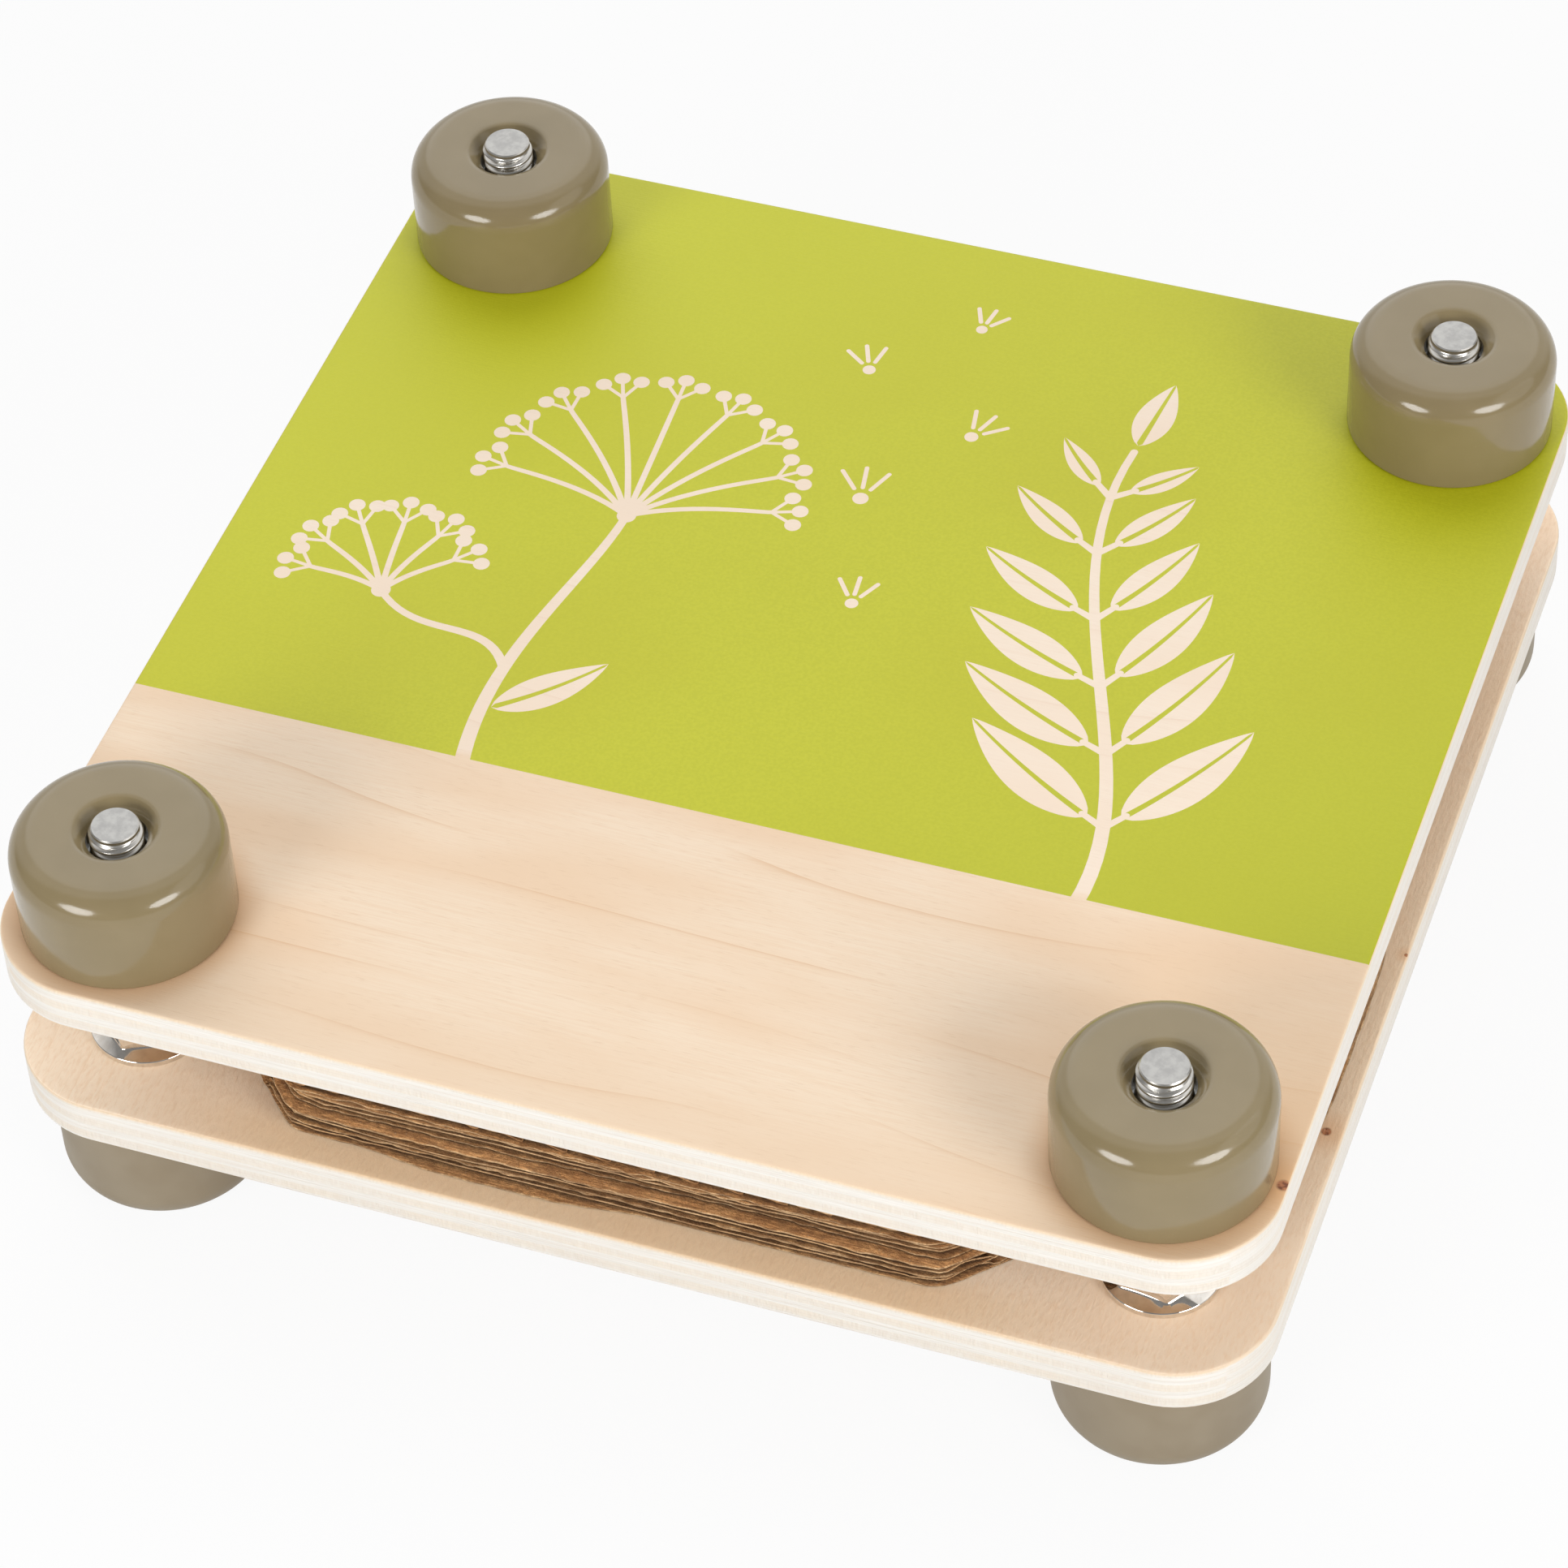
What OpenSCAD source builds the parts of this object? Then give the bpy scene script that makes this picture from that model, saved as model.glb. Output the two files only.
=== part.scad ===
// A flower press: two plywood boards hold a stack of corrugated sheets between
// them. Four bolts rise from the feet through both boards, and a round screw
// knob on each bolt draws the top board down. The feet stand on z = 0 and the
// front edge faces -Y.

/* [Boards] */
// Width and depth of both boards
board_side = 190; // [150:1:240]
// Thickness of both boards
board_thick = 7.6; // [5:0.1:12]
// Radius of the boards' upright corners
corner_radius = 15.2; // [6:0.1:20]
// Size of the chamfer round both faces of the boards
board_ease = 0.4; // [0.2:0.1:1]
// Distance from a bolt's axis to the two board edges beside it
bolt_inset = 17.8; // [17:0.05:22]

/* [Knobs] */
// Diameter of a knob
knob_d = 31.5; // [28:0.1:34]
// Height of a knob
knob_height = 17; // [16:0.1:24]
// Radius of a knob's upper edge
knob_round = 4.5; // [2:0.1:6]
// Size of the chamfer at a knob's lower edge
knob_ease = 0.5; // [0.2:0.1:1]
// Diameter of the dish round the bolt, at the knob's top
dish_d = 12.8; // [12:0.1:16]
// Depth of the dish where the bore begins
dish_depth = 1.9; // [1:0.1:2.5]

/* [Threaded inserts] */
// Diameter of an insert's barrel
insert_d = 11; // [10:0.1:12]
// Length of an insert, its collar included
insert_length = 12; // [8:0.1:13]
// Diameter of an insert's collar
collar_d = 15; // [13:0.1:18]
// Thickness of an insert's collar
collar_thick = 1.4; // [1:0.1:2]
// Height of the chamfer at an insert's upper end
insert_ease = 1; // [0.5:0.1:1.5]

/* [Feet] */
// Diameter of a foot
foot_d = 31.5; // [30:0.1:34]
// Height of a foot
foot_height = 19.8; // [18:0.1:26]
// Radius of a foot's lower edge
foot_round = 5; // [2:0.1:5]
// Size of the chamfer at a foot's upper edge
foot_ease = 0.4; // [0.2:0.1:1]
// Thickness of the wood between the washer and the base board
seat_thick = 8.6; // [6:0.1:9]

/* [Bolts] */
// Outer diameter of the bolt's thread
bolt_d = 7.9; // [6.9:0.1:8.4]
// Size of the chamfer at the bolt's upper end
bolt_ease = 0.4; // [0.2:0.1:0.8]
// Width of the bolt's head across its flats
head_across = 13; // [11:0.1:13.4]
// Height of the bolt's head
head_height = 5.3; // [4:0.1:6]
// How far the lowest bolt end stands above its knob
end_rise = 0.2; // [0:0.1:1]
// How much further the highest bolt end stands up than the lowest one
end_spread = 1.6; // [0:0.1:2]
// Radial clearance of the bolts in the wooden holes
hole_clear = 0.55; // [0.3:0.05:0.8]
// Radial clearance of the bolts in nuts and inserts
thread_clear = 0.05; // [0.02:0.01:0.1]

/* [Washers and nuts] */
// Outer diameter of a washer
washer_d = 16; // [15:0.1:16.4]
// Thickness of a washer
washer_thick = 1.6; // [1:0.1:2]
// Radial clearance of the bolt in a washer
washer_clear = 0.25; // [0.1:0.05:0.4]
// Radial clearance of a washer in its counterbore
counterbore_clear = 0.5; // [0.2:0.1:0.6]
// Diameter of a flange nut's flange
flange_d = 17.5; // [16:0.1:18]
// Thickness of the flange at its rim
flange_rim = 1.2; // [0.8:0.1:2]
// Height of the flange where it meets the hexagon
flange_height = 2.8; // [2.4:0.1:4]
// Width of a flange nut across its flats
nut_across = 13; // [12:0.1:13.6]
// Height of a flange nut
nut_height = 8; // [6:0.1:9]

/* [Corrugated sheets] */
// Number of sheets in the stack
sheet_count = 6; // [4:1:8]
// Thickness of one sheet
sheet_thick = 2.9; // [2.5:0.1:4]
// Thickness of a sheet's two facings
facing_thick = 0.35; // [0.2:0.05:0.5]
// Thickness of the wave between the facings
wave_thick = 0.3; // [0.2:0.05:0.4]
// Distance from one crest of the wave to the next
flute_pitch = 6.6; // [5:0.1:9]
// Distance from a sheet's edge to the board's edge
sheet_margin = 4.25; // [2:0.05:10]
// Distance from a nut's flange to the cut corner of a sheet
corner_clear = 1.5; // [1.5:0.1:6]
// Radius at the ends of the cut corners
sheet_round = 4; // [1:0.1:8]
// How far a sheet may lie off the middle of the stack
sheet_slip = 0.6; // [0:0.1:0.6]
// How far a sheet may be turned in the stack, in degrees
sheet_twist = 0.25; // [0:0.05:0.3]

/* [Hidden] */
$fn = 96;
overrun = 1;
corner_names = ["front_left", "front_right", "back_left", "back_right"];
corners = [0:3];
sheets = [1:sheet_count];

// Rise of each bolt's end over the lowest one, in the order of corner_names
end_rise_shares = [0.2, 1, 0.7, 0];
// Turn of each flange nut, in degrees
nut_turns = [22, 52, 12, 40];
// Direction of the flutes, from the lowest sheet up, in degrees
flute_turns = [90, 90, 90, 0, 90, 90];

// Heights of the stack's faces
base_top = foot_height + board_thick;
stack_height = sheet_count * sheet_thick;
top_low = base_top + stack_height;
top_face = top_low + board_thick;
knob_top = top_face + knob_height;

// Bolts, their holes and what lies round them
bolt_reach = board_side / 2 - bolt_inset;
hole_d = bolt_d + 2 * hole_clear;
thread_bore = bolt_d + 2 * thread_clear;
washer_bore = bolt_d + 2 * washer_clear;
counterbore_d = washer_d + 2 * counterbore_clear;
washer_seat = foot_height - seat_thick;
head_seat = washer_seat - washer_thick;
bolt_length = knob_top + end_rise - head_seat;
hexagon_share = 0.95;
hexagon_slope = 30;

// The dish is a part of a sphere that meets the knob's top and its bore
dish_lift = (pow(dish_d / 2, 2) - pow(hole_d / 2, 2) - pow(dish_depth, 2)) / (2 * dish_depth);
dish_sphere = norm([dish_d / 2, dish_lift]);

// Outline of a sheet: a square whose corners are cut at 45 degrees
sheet_reach = board_side / 2 - sheet_margin;
cut_reach = sqrt(2) * bolt_reach - flange_d / 2 - corner_clear;
arc_steps = 3;
golden_angle = 137.5;

// The wave runs from facing to facing and is glued in along its crests
glue_depth_share = 0.02;
wave_room = sheet_thick / 2 - facing_thick - wave_thick / 2;
wave_height = wave_room * (1 + glue_depth_share);
glue_angle = acos(wave_room / wave_height);
cell_steps = 10;

wood = "#ecd4b2";
paint = "#9e8f76";
zinc = "#c9c9c6";
kraft = "#a9855a";

// Side of the press that a corner lies on, as -1 or 1 along X and Y
function corner_sides(i) = [i % 2 == 0 ? -1 : 1, i < 2 ? -1 : 1];
function end_shift(i) = end_spread * end_rise_shares[i];

module at_corner(i, z) {
    translate([each bolt_reach * corner_sides(i), z]) children();
}

module bolt_holes() {
    for (i = corners)
        at_corner(i, -overrun) cylinder(d = hole_d, h = board_thick + 2 * overrun);
}

// A bar along X with its four long edges chamfered
module eased_bar(length, width) {
    reach = width / 2;
    rotate([90, 0, 90]) linear_extrude(length, center = true) polygon([
        [board_ease - reach, 0], [reach - board_ease, 0],
        [reach, board_ease], [reach, board_thick - board_ease],
        [reach - board_ease, board_thick], [board_ease - reach, board_thick],
        [-reach, board_thick - board_ease], [-reach, board_ease]
    ]);
}

module eased_disc(radius) {
    rotate_extrude() polygon([
        [0, 0], [radius - board_ease, 0],
        [radius, board_ease], [radius, board_thick - board_ease],
        [radius - board_ease, board_thick], [0, board_thick]
    ]);
}

// A square board with round corners, its underside at z = 0
module board() {
    difference() {
        union() {
            for (turn = [0, 90])
                rotate(turn) eased_bar(board_side - 2 * corner_radius, board_side);
            for (i = corners)
                translate((board_side / 2 - corner_radius) * corner_sides(i)) eased_disc(corner_radius);
        }
        bolt_holes();
    }
}

module base_board() {
    color(wood) translate([0, 0, foot_height]) board();
}

module top_board() {
    color(wood) translate([0, 0, top_low]) board();
}

// Half outline of a turned disc: round at the far end, chamfered at z = 0
module turned_half(radius, height, round_edge, ease) {
    polygon([
        [0, 0], [radius - ease, 0], [radius, ease],
        [radius, height - round_edge], [radius - round_edge, height - round_edge],
        [radius - round_edge, height], [0, height]
    ]);
    translate([radius - round_edge, height - round_edge]) intersection() {
        circle(round_edge);
        square(round_edge);
    }
}

// A turned foot with a stepped hole that takes the bolt's head from below
module foot(i) {
    seat = washer_seat + end_shift(i);
    color(paint) at_corner(i, 0) difference() {
        translate([0, 0, foot_height]) mirror([0, 0, 1]) rotate_extrude()
            turned_half(foot_d / 2, foot_height, foot_round, foot_ease);
        translate([0, 0, -overrun]) cylinder(d = hole_d, h = foot_height + 2 * overrun);
        translate([0, 0, -overrun]) cylinder(d = counterbore_d, h = seat + overrun);
    }
}

// A hexagon across its flats, chamfered round its upper face
module hexagon(across, height) {
    corner = across / 2 / cos(30);
    flat = across / 2 * hexagon_share;
    outside = corner + overrun;
    intersection() {
        cylinder(r = corner, h = height, $fn = 6);
        rotate_extrude() polygon([
            [0, 0], [outside, 0], [outside, height - (outside - flat) * tan(hexagon_slope)],
            [flat, height], [0, height]
        ]);
    }
}

// A hexagon bolt standing on its head, its thread as a plain shank
module bolt(i) {
    color(zinc) at_corner(i, head_seat + end_shift(i)) {
        mirror([0, 0, 1]) hexagon(head_across, head_height);
        rotate_extrude() polygon([
            [0, 0], [bolt_d / 2, 0], [bolt_d / 2, bolt_length - bolt_ease],
            [bolt_d / 2 - bolt_ease, bolt_length], [0, bolt_length]
        ]);
    }
}

module washer(i) {
    color(zinc) at_corner(i, head_seat + end_shift(i)) difference() {
        cylinder(d = washer_d, h = washer_thick);
        translate([0, 0, -overrun]) cylinder(d = washer_bore, h = washer_thick + 2 * overrun);
    }
}

// A nut with a conical flange that clamps the base board onto its foot
module flange_nut(i) {
    color(zinc) at_corner(i, base_top) rotate(nut_turns[i]) difference() {
        union() {
            hexagon(nut_across, nut_height);
            rotate_extrude() polygon([
                [0, 0], [flange_d / 2, 0], [flange_d / 2, flange_rim],
                [nut_across / 2, flange_height], [0, flange_height]
            ]);
        }
        translate([0, 0, -overrun]) cylinder(d = thread_bore, h = nut_height + 2 * overrun);
    }
}

// A threaded bush with a collar, let into a knob from below
module insert_body(gap) {
    radius = insert_d / 2 + gap;
    rotate_extrude() polygon([
        [0, 0], [collar_d / 2 + gap, 0], [collar_d / 2 + gap, collar_thick],
        [radius, collar_thick], [radius, insert_length - insert_ease],
        [radius - insert_ease, insert_length], [0, insert_length]
    ]);
}

module insert(i) {
    color(zinc) at_corner(i, top_face) difference() {
        insert_body(0);
        translate([0, 0, -overrun]) cylinder(d = thread_bore, h = insert_length + 2 * overrun);
    }
}

// A turned knob with a dish round the bolt's end
module knob(i) {
    color(paint) at_corner(i, top_face) difference() {
        rotate_extrude() turned_half(knob_d / 2, knob_height, knob_round, knob_ease);
        translate([0, 0, -overrun]) cylinder(d = hole_d, h = knob_height + 2 * overrun);
        insert_body(thread_clear);
        translate([0, 0, knob_height + dish_lift]) sphere(dish_sphere);
    }
}

// Arc round the end of a cut corner; side is the direction that its first edge faces
function corner_arc(centre, side) = [
    for (s = [0:arc_steps]) centre + sheet_round * [cos(side + 45 * s / arc_steps), sin(side + 45 * s / arc_steps)]
];

module sheet_outline() {
    far = sheet_reach - sheet_round;
    near = sqrt(2) * (cut_reach - sheet_round) - far;
    for_one_side = concat(corner_arc([far, near], 0), corner_arc([near, far], 45));
    polygon([for (turn = [0:90:270], p = for_one_side)
        [p.x * cos(turn) - p.y * sin(turn), p.x * sin(turn) + p.y * cos(turn)]]);
}

// Points of the wave's face between two crests, seen along the flutes
function wave_face(up) = [
    for (s = [0:cell_steps])
        let (phase = (180 - glue_angle) * (2 * s / cell_steps - 1))
        [flute_pitch * phase / 360, sheet_thick / 2 - up * (wave_height * cos(phase) - wave_thick / 2)]
];

// Cross-section of the corrugated board: two facings and the wave between them
module flute_section(width) {
    flutes = ceil(width / flute_pitch / 2);
    difference() {
        translate([-width / 2, 0]) square([width, sheet_thick]);
        for (n = [-flutes:flutes]) {
            translate([n * flute_pitch, 0]) polygon(wave_face(1));
            translate([(n + 0.5) * flute_pitch, 0]) polygon(wave_face(-1));
        }
    }
}

// One sheet of corrugated board, cut clear of the four nuts
module sheet(k) {
    place = sheet_slip * [cos(golden_angle * k), sin(golden_angle * k)];
    flute_turn = flute_turns[(k - 1) % len(flute_turns)];
    width = 2 * (sheet_reach + overrun);
    color(kraft) translate([each place, base_top + (k - 1) * sheet_thick])
        rotate(sheet_twist * cos(golden_angle * k)) intersection() {
            linear_extrude(sheet_thick) sheet_outline();
            rotate(flute_turn) rotate([90, 0, 0]) linear_extrude(width, center = true) flute_section(width);
        }
}

base_board();
top_board();
for (i = corners) {
    foot(i);
    bolt(i);
    washer(i);
    flange_nut(i);
    knob(i);
    insert(i);
}
for (k = sheets) {
    sheet(k);
}
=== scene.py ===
"""Looks of a flower press, built round its solids. Metres, +Z up, the front edge faces -Y."""
import math

import bmesh
import bpy
import numpy as np
from mathutils import Matrix, Vector
from mathutils.geometry import delaunay_2d_cdt


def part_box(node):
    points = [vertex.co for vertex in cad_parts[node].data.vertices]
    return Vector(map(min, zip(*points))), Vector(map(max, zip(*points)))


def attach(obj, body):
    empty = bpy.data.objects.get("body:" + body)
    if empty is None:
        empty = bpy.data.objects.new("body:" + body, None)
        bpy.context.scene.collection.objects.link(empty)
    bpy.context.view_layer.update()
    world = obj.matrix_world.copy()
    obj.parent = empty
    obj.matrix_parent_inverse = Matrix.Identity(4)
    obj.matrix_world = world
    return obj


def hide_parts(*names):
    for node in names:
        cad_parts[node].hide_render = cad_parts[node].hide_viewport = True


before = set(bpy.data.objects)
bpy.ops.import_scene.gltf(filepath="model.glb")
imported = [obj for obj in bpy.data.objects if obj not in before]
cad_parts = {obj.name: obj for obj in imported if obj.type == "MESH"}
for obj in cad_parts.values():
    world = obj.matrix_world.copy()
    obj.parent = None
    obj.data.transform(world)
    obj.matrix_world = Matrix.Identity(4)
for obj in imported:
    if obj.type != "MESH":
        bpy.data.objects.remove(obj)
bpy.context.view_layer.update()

MM = 0.001
TAU = math.tau
CORNERS = ("front_left", "front_right", "back_left", "back_right")

# Boards
BOARD_ROUND = 15.2 * MM
BOARD_EASE = 0.5 * MM
BOARD_SHOULDER = 0.8 * MM
HOLE_RADIUS = 4.5 * MM
PLIES = 5
PRINT_EDGE = -35.2 * MM
# Reach of the painted shade round each knob's foot
KNOB_SHADE_REACH = 29 * MM

# Knobs, feet and hardware
KNOB_ROUND = 4.5 * MM
FOOT_ROUND = 5 * MM
LOWER_EASE = 0.5 * MM
DISH_RIM = 6.5 * MM
DISH_DEPTH = 1.9 * MM
INSERT_BARREL = 5.5 * MM
COLLAR_HEIGHT = 1.4 * MM
COUNTERBORE = 8.5 * MM
THREAD_BORE = 4.0 * MM
JOINT_GAP = 0.05 * MM
THREAD_PITCH = 1.41 * MM
THREAD_DEPTH = 0.7 * MM
BOLT_END = 3.5 * MM
BOLT_END_LENGTH = 0.7 * MM
HEAD_HEIGHT = 5.3 * MM
HEAD_ACROSS = 13 * MM
NUT_ACROSS = 13 * MM
FLANGE_RIM = 1.2 * MM
FLANGE_HEIGHT = 2.0 * MM
NUT_TURNS = dict(zip(CORNERS, (22, 52, 12, 40)))
NUT_STEPS = 144
BOLT_STEPS = 72

# Corrugated sheets
SHEETS = (1, 2, 3, 4, 5, 6)
CROSSWISE_SHEET = 4
PAPER_STEPS = 720
WAVE_COLUMNS = 27
ROWS_PER_FLUTE = 10
FLUTE_PITCH = 6.6 * MM
FACING = 0.4 * MM
WAVE = 0.3 * MM
SHEET_REACH = 90.4 * MM
SHEET_CUT = 98.6 * MM
CORNER_SHARPNESS = 150
SET_BACK = 0.3 * MM
WAVE_SET_BACK = 0.5 * MM
WAVE_END_INSET = 0.1 * MM
WAVE_SIDE_INSET = 0.3 * MM
LIP_SIZE = 1.5 * MM
LIP_PLACE = -17 * MM
LIP_WIDTH = 17 * MM
GAPE_SIZE = 0.3 * MM
GAPE_PLACE = -32 * MM
GAPE_WIDTH = 13 * MM
SIDE_LIP_SIZE = 2.3 * MM
SIDE_LIP_PLACE = -28 * MM
SIDE_LIP_WIDTH = 24 * MM
CRUSHED_DROP = 0.5 * MM
SAG_SIZE = 0.11 * MM
SAG_REACH = 9 * MM
SHUT_FROM = 0.72
SHUT_WIDTH = 0.14
PINCH_REACH = 1 * MM
WRINKLE_SIZE = 0.05 * MM
WRINKLE_REACH = 2.5 * MM
EDGE_REACH = 4 * MM
END_REACH = 3 * MM
WEAR_REACH = 0.25 * MM
CRUSH_REACH = 3 * MM
LEAN_REACH = 7 * MM
FLUTE_LEAN = 0.26
LEAST_GAP = 0.35 * MM
LEAST_WAVE = 0.1 * MM
GLUED_SWING = 1.02
# Painted shade in the paper's crevices: how far to look for cover, and where the darkening ends
CREVICE_SHADE_REACH = 2.2 * MM
CREVICE_SHADE_END = 0.72

# Camera, matched to the photograph: pixels of a square picture, degrees and metres
PICTURE_SIDE = 1932
FOCAL_PIXELS = 6974.9
SENSOR = 36
VIEW_AZIMUTH = 21.458
VIEW_ELEVATION = 46.402
VIEW_ROLL = -3.157
VIEW_DISTANCE = 858.5 * MM
VIEW_RIGHT = -5.15 * MM
VIEW_UP = -3.8 * MM
VIEW_HEIGHT = 30 * MM

# Light: radiance where 1 is a white floor's own
ROOM_LIGHT = 0.26
BACKDROP_LIGHT = 1.92
BACKDROP_ELEVATION = 42
BACKDROP_FULL = 26
BACKDROP_END = 44
BACKGROUND_WHITE = 1.0
BACKGROUND_FULL = 50
BACKGROUND_END = 75
FLOOR_WHITE_SHARE = 0.92
FLOOR_SIDE = 6
FLOOR_GAP = 0.05 * MM
LAMP_TARGET = 50 * MM
FLOOR_TONE = 0.74


def tone(red, green, blue):
    """A colour given as 8-bit display values, in linear light."""
    def linear(value):
        share = value / 255
        return share / 12.92 if share <= 0.04045 else ((share + 0.055) / 1.055) ** 2.4
    return (linear(red), linear(green), linear(blue), 1)


# Node materials

def feed(socket, value):
    """Sets a socket to a plain value, or links a field to it."""
    if isinstance(value, Field):
        socket.id_data.links.new(value.socket, socket)
    else:
        socket.default_value = value


def add_node(tree, kind, inputs=None, **settings):
    made = tree.nodes.new("ShaderNode" + kind)
    for name, value in settings.items():
        setattr(made, name, value)
    for key, value in (inputs or {}).items():
        feed(made.inputs[key], value)
    return made


def node_field(tree, kind, inputs=None, output=0, **settings):
    """One output of a new node, as a field."""
    return Field(add_node(tree, kind, inputs, **settings).outputs[output])


class Field:
    """A value that varies over a surface. Sums and products of fields add math nodes."""

    def __init__(self, socket):
        self.socket = socket
        self.tree = socket.id_data

    def math(self, operation, *others):
        return node_field(self.tree, "Math", dict(enumerate((self, *others))), operation=operation)

    def __add__(self, other):
        return self.math("ADD", other)

    def __sub__(self, other):
        return self.math("SUBTRACT", other)

    def __mul__(self, other):
        return self.math("MULTIPLY", other)

    def __pow__(self, other):
        return self.math("POWER", other)

    def fraction(self):
        return self.math("FRACT")

    def size(self):
        return self.math("ABSOLUTE")

    def levels(self, low, high, start=0.0, end=1.0):
        """Runs smoothly from start to end while this field runs from low to high."""
        inputs = dict(enumerate((self, low, high, start, end)))
        return node_field(self.tree, "MapRange", inputs, interpolation_type="SMOOTHSTEP")


def mix(share, first, second):
    """The first colour where share is 0, the second where it is 1."""
    return node_field(share.tree, "Mix", {0: share, 6: first, 7: second}, 2, data_type="RGBA")


def empty_tree(owner):
    """The node tree of a material or world, without its default nodes."""
    owner.use_nodes = True
    owner.node_tree.nodes.clear()
    return owner.node_tree


def start_material(name):
    """A new material and the field of places on the object."""
    material = bpy.data.materials.new(name)
    return material, node_field(empty_tree(material), "TexCoord", output="Object")


def end_material(material, colour, roughness, normal, metallic=0.0, specular=0.5):
    tree = material.node_tree
    shader = node_field(tree, "BsdfPrincipled", {
        "Base Color": colour, "Roughness": roughness, "Normal": normal, "Metallic": metallic,
        "Specular IOR Level": specular})
    add_node(tree, "OutputMaterial", {0: shader})
    return material


def axes(place):
    made = add_node(place.tree, "SeparateXYZ", {0: place})
    return [Field(socket) for socket in made.outputs]


def noise(place, period, detail=2.0, roughness=0.5, shift=0.0):
    """Soft noise about 0.5 whose features are about period millimetres long, one number or one for each axis."""
    periods = (period,) * 3 if isinstance(period, (int, float)) else period
    scaled = node_field(place.tree, "VectorMath", {0: place, 1: [1 / (p * MM) for p in periods], 2: (shift,) * 3},
                        operation="MULTIPLY_ADD")
    return node_field(place.tree, "TexNoise", {"Vector": scaled, "Scale": 1.0, "Detail": detail,
                                               "Roughness": roughness})


def bump(height, depth, under=None):
    """The normal of a surface raised by height times depth metres, over another such normal."""
    inputs = {"Height": height, "Distance": depth, "Strength": 1.0}
    if under:
        inputs["Normal"] = under
    return node_field(height.tree, "Bump", inputs)


def spot(place, centre, radius):
    """1 at a centre given in metres along X and Y, fading to 0 at radius."""
    x, y, _ = axes(place)
    distance = ((x - centre[0]) ** 2 + (y - centre[1]) ** 2) ** 0.5
    return distance.levels(0, radius, 1.0, 0.0)


def grain_fields(place, along, seed):
    """Growth lines, fibres, flecks and patches of veneer whose fibres run along X (0) or Y (1)."""
    def stretched(length, width, **more):
        periods = [width, width, width]
        periods[along] = length
        return noise(place, periods, shift=seed, **more)
    across = axes(place)[1 - along]
    rings = across * (1 / (8.5 * MM)) + stretched(230, 60, detail=2.0) * 5
    fading = stretched(70, 9, detail=1).levels(0.42, 0.66)
    lines = rings.fraction() ** 26 * fading
    fibres = stretched(11, 0.3, detail=3, roughness=0.65)
    flecks = stretched(2.6, 0.17, detail=1).levels(0.6, 0.78)
    patches = stretched(58, 17, detail=2).levels(0.36, 0.64)
    return lines, fibres, flecks, patches


def veneer_colour(place, along, seed, pale, warm, line, fleck, line_share):
    lines, fibres, flecks, patches = grain_fields(place, along, seed)
    colour = mix(patches, pale, warm)
    colour = mix(fibres.levels(0.3, 0.75, 0.0, 0.62), colour, warm)
    colour = mix(flecks * 0.32, colour, fleck)
    colour = mix(lines * line_share, colour, line)
    return colour, fibres * 0.7 + flecks * -0.4


def knotted(colour, place, knots):
    """Adds small knots, each a dark red-brown core in a warm stain."""
    for centre, radius in knots:
        colour = mix(spot(place, centre, 4.5 * radius) * 0.5, colour, tone(226, 170, 112))
        core = mix(noise(place, 0.6, detail=2).levels(0.4, 0.6), tone(182, 118, 78), tone(120, 66, 40))
        colour = mix(spot(place, centre, radius).levels(0.1, 0.6), colour, core)
    return colour


def top_veneer():
    material, place = start_material("sanded_veneer")
    colour, height = veneer_colour(place, 0, 3.1, tone(238, 217, 192), tone(232, 203, 172), tone(212, 164, 116),
                                   tone(212, 176, 140), 0.6)
    _, y, _ = axes(place)
    colour = mix(y.levels(PRINT_EDGE, PRINT_EDGE + 2 * MM) * 0.5, colour, tone(246, 233, 219))
    # Painted shade: the wood darkens towards the front edge.
    colour = mix(y.levels(-95 * MM, -72 * MM, 0.3, 0.0), colour, tone(224, 200, 172))
    # Painted shade: a warm, darker patch towards the front right corner.
    colour = mix(spot(place, (98 * MM, -68 * MM), 60 * MM) * 0.62, colour, tone(222, 186, 146))
    # Painted shade: the wood darkens warmly in a ring round each knob's foot.
    for corner in CORNERS:
        closeness = spot(place, middle(f"knob_{corner}").xy, KNOB_SHADE_REACH).levels(0.2, 0.5)
        colour = mix(closeness * 0.7, colour, tone(206, 160, 112))
    colour = knotted(colour, place, [((94.2 * MM, -77.4 * MM), 1.5 * MM)])
    return end_material(material, colour, 0.62, bump(height, 0.03 * MM))


def base_veneer():
    """The base board's face is left rougher, with its fibres standing up a little."""
    material, place = start_material("rough_veneer")
    colour, height = veneer_colour(place, 1, 7.7, tone(255, 238, 214), tone(254, 230, 202), tone(236, 196, 152),
                                   tone(238, 206, 168), 0.3)
    # Painted shade: a darker patch towards the front right corner.
    colour = mix(spot(place, (88 * MM, -80 * MM), 36 * MM) * 0.4, colour, tone(218, 196, 170))
    # Painted shade: the strips of the face outside the top board turn warmer and darker, most along the front and away
    # from the corners.
    x, y, _ = axes(place)
    rim = x.size().math("MAXIMUM", y.size()).levels(84 * MM, 91 * MM)
    middling = x.size().math("MINIMUM", y.size()).levels(45 * MM, 75 * MM, 1.0, 0.0)
    colour = mix(rim * middling * y.levels(-84 * MM, -70 * MM, 0.7, 0.4), colour, tone(242, 208, 164))
    colour = knotted(colour, place, [((92.4 * MM, -46 * MM), 1.2 * MM), ((94.6 * MM, -10 * MM), 0.5 * MM)])
    fuzz = noise(place, (0.5, 1.5, 0.5), detail=3, roughness=0.6)
    colour = mix(fuzz.levels(0.45, 0.7) * 0.3, colour, tone(234, 198, 158))
    normal = bump(fuzz, 0.1 * MM, bump(height, 0.025 * MM))
    return end_material(material, colour, 0.75, normal)


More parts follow.
